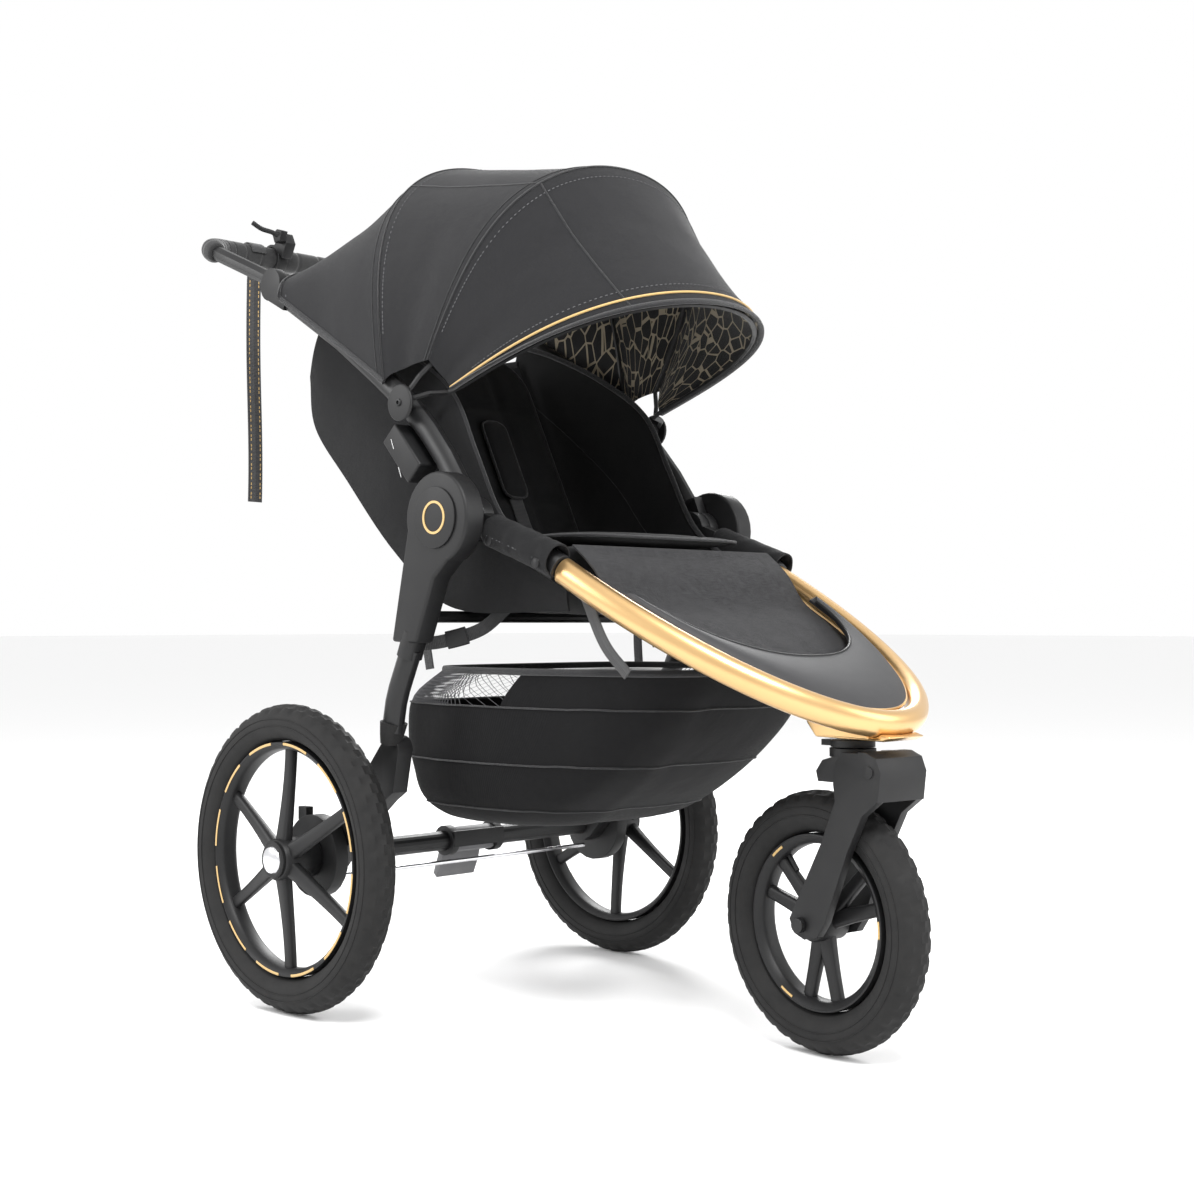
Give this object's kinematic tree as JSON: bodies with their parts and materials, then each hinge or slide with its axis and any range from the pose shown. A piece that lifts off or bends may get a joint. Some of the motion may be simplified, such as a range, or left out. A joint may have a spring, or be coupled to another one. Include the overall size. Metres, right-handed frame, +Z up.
{
  "type": "baby stroller",
  "caption": "All-terrain folding stroller with a swivelling front wheel, large rear wheels, padded seat, hooded canopy and underseat basket.",
  "frame": {"origin": "centre of the bounding box on the floor plane", "axes": "+X across to the child's left, -Y the way it rolls forward, +Z up"},
  "size_m": [0.68, 1.1684, 1.1388],
  "materials": {
    "tyre": "matte rubber with moulded tread",
    "rim_plastic": "satin moulded",
    "silver": "bright plated",
    "black_plastic": "fine grain",
    "grey_plastic": "ribbed",
    "black_metal": "powder coat",
    "gold_metal": "satin champagne gold",
    "foot_rubber": "matte",
    "grip_foam": "closed-cell foam",
    "webbing": "woven webbing",
    "canopy_cloth": "coated plain weave",
    "seat_cloth": "padded weave",
    "linen_cloth": "slub linen weave",
    "basket_cloth": "ripstop with mesh panels"
  },
  "bodies": {
    "front_frame": {"front_tube_left": "black_metal", "front_tube_right": "black_metal", "hoop": "gold_metal", "footplate": "foot_rubber", "nose_bracket": "gold_metal", "seat_base": "seat_cloth", "apron": "linen_cloth", "seat_side_left": "seat_cloth", "seat_side_right": "seat_cloth", "basket": "basket_cloth"},
    "upper_frame": {"upper_tube_left": "black_metal", "upper_tube_right": "black_metal", "canopy_mount_left": "black_plastic", "canopy_mount_right": "black_plastic", "adapter_left": "black_plastic", "adapter_right": "black_plastic", "handle_pivot_left": "black_plastic", "handle_pivot_right": "black_plastic", "canopy_bow_rear": "black_metal", "canopy_cloth": "canopy_cloth"},
    "rear_frame": {"leg_shell_left": "black_plastic", "leg_shell_right": "black_plastic", "hinge_badge_left": "gold_metal", "hinge_badge_right": "gold_metal", "leg_tube_left": "black_metal", "leg_tube_right": "black_metal", "cross_tube": "black_metal"},
    "rear_axle": {"swing_arm_left": "black_plastic", "swing_arm_right": "black_plastic", "axle_tube": "black_metal", "brake_drum_left": "black_plastic", "brake_drum_right": "black_plastic", "pedal_bracket": "black_plastic", "brake_link_rod": "silver"},
    "rear_wheel_left": {"tyre_rear_left": "tyre", "rim_rear_left": "rim_plastic", "hub_cap_rear_left": "silver"},
    "rear_wheel_right": {"tyre_rear_right": "tyre", "rim_rear_right": "rim_plastic", "hub_cap_rear_right": "silver"},
    "foot_brake": {"brake_pedal": "grey_plastic"},
    "caster_lock": {"swivel_lock": "black_plastic"},
    "caster": {"caster_head": "black_plastic"},
    "front_fork": {"fork": "black_plastic", "fork_nut_left": "black_metal", "fork_nut_right": "black_metal"},
    "front_wheel": {"tyre_front": "tyre", "rim_front": "rim_plastic"},
    "handle": {"handlebar": "black_metal", "handle_grip": "grip_foam", "lever_clamp": "black_plastic"},
    "hand_brake": {"brake_lever": "black_plastic"},
    "safety_strap": {"wrist_strap": "webbing"},
    "visor_bow": {"canopy_bow_front": "black_metal"},
    "middle_bow": {"canopy_bow_middle": "black_metal"},
    "backrest": {"seat_back": "seat_cloth", "shoulder_pad_left": "seat_cloth", "shoulder_pad_right": "seat_cloth", "seat_gusset": "seat_cloth"}
  },
  "joints": [
    {"name": "frame_fold", "type": "hinge", "parent": "front_frame", "child": "upper_frame", "pos_m": [0, -0.0483, 0.634], "axis": [-1, 0, 0], "range_deg": [0, 144], "deforming": ["basket", "seat_base", "seat_side_left", "seat_side_right", "apron"]},
    {"name": "legs_fold", "type": "hinge", "parent": "front_frame", "child": "rear_frame", "pos_m": [0, -0.0483, 0.634], "axis": [-1, 0, 0], "range_deg": [0, 52], "deforming": ["basket", "seat_base", "seat_side_left", "seat_side_right"]},
    {"name": "rear_suspension", "type": "hinge", "parent": "rear_frame", "child": "rear_axle", "pos_m": [0, 0.0617, 0.345], "axis": [1, 0, 0], "range_deg": [0, 6], "stiffness_Nm_per_rad": 60, "springref_deg": -22.92},
    {"name": "rear_wheel_left_spin", "type": "hinge", "parent": "rear_axle", "child": "rear_wheel_left", "pos_m": [0.304, 0.1967, 0.2], "axis": [1, 0, 0], "continuous": true},
    {"name": "rear_wheel_right_spin", "type": "hinge", "parent": "rear_axle", "child": "rear_wheel_right", "pos_m": [-0.304, 0.1967, 0.2], "axis": [1, 0, 0], "continuous": true},
    {"name": "brake_pedal_turn", "type": "hinge", "parent": "rear_axle", "child": "foot_brake", "pos_m": [0, 0.1967, 0.2], "axis": [-1, 0, 0], "range_deg": [0, 15]},
    {"name": "caster_lock_turn", "type": "hinge", "parent": "front_frame", "child": "caster_lock", "pos_m": [0, -0.4763, 0.3665], "axis": [0, 0, 1], "range_deg": [0, 60]},
    {"name": "caster_swivel", "type": "hinge", "parent": "front_frame", "child": "caster", "pos_m": [0, -0.4763, 0.356], "axis": [0, 0, 1], "continuous": true},
    {"name": "front_suspension", "type": "hinge", "parent": "caster", "child": "front_fork", "pos_m": [-0.00684, -0.53591, 0.338], "axis": [0.9935, -0.1141, 0], "range_deg": [0, 2.4], "stiffness_Nm_per_rad": 50, "springref_deg": -17.19},
    {"name": "front_wheel_spin", "type": "hinge", "parent": "front_fork", "child": "front_wheel", "pos_m": [0.00525, -0.4306, 0.1546], "axis": [0.9935, -0.1141, 0], "continuous": true},
    {"name": "handle_tilt", "type": "hinge", "parent": "upper_frame", "child": "handle", "pos_m": [0, 0.3617, 0.98], "axis": [1, 0, 0], "range_deg": [-45, 30]},
    {"name": "brake_lever_pull", "type": "hinge", "parent": "handle", "child": "hand_brake", "pos_m": [-0.09, 0.5247, 1.091], "axis": [-1, 0, 0], "range_deg": [0, 25], "stiffness_Nm_per_rad": 0.6, "springref_deg": -17.19},
    {"name": "safety_strap_swing", "type": "hinge", "parent": "handle", "child": "safety_strap", "pos_m": [-0.115, 0.5617, 1.065], "axis": [1, 0, 0], "range_deg": [-20, 60]},
    {"name": "visor_fold", "type": "hinge", "parent": "upper_frame", "child": "visor_bow", "pos_m": [0, 0.0557, 0.786], "axis": [-1, 0, 0], "range_deg": [0, 45], "deforming": ["canopy_cloth"]},
    {"name": "middle_bow_fold", "type": "hinge", "parent": "upper_frame", "child": "middle_bow", "pos_m": [0, 0.0557, 0.786], "axis": [-1, 0, 0], "range_deg": [0, 27], "deforming": ["canopy_cloth"]},
    {"name": "seat_recline", "type": "hinge", "parent": "upper_frame", "child": "backrest", "pos_m": [0, 0.1127, 0.584], "axis": [-1, 0, 0], "range_deg": [0, 30], "deforming": ["seat_gusset"]}
  ],
  "couplings": [
    {"joint": "legs_fold", "follows": "frame_fold", "ratio": 0.3611},
    {"joint": "middle_bow_fold", "follows": "visor_fold", "ratio": 0.6}
  ]
}
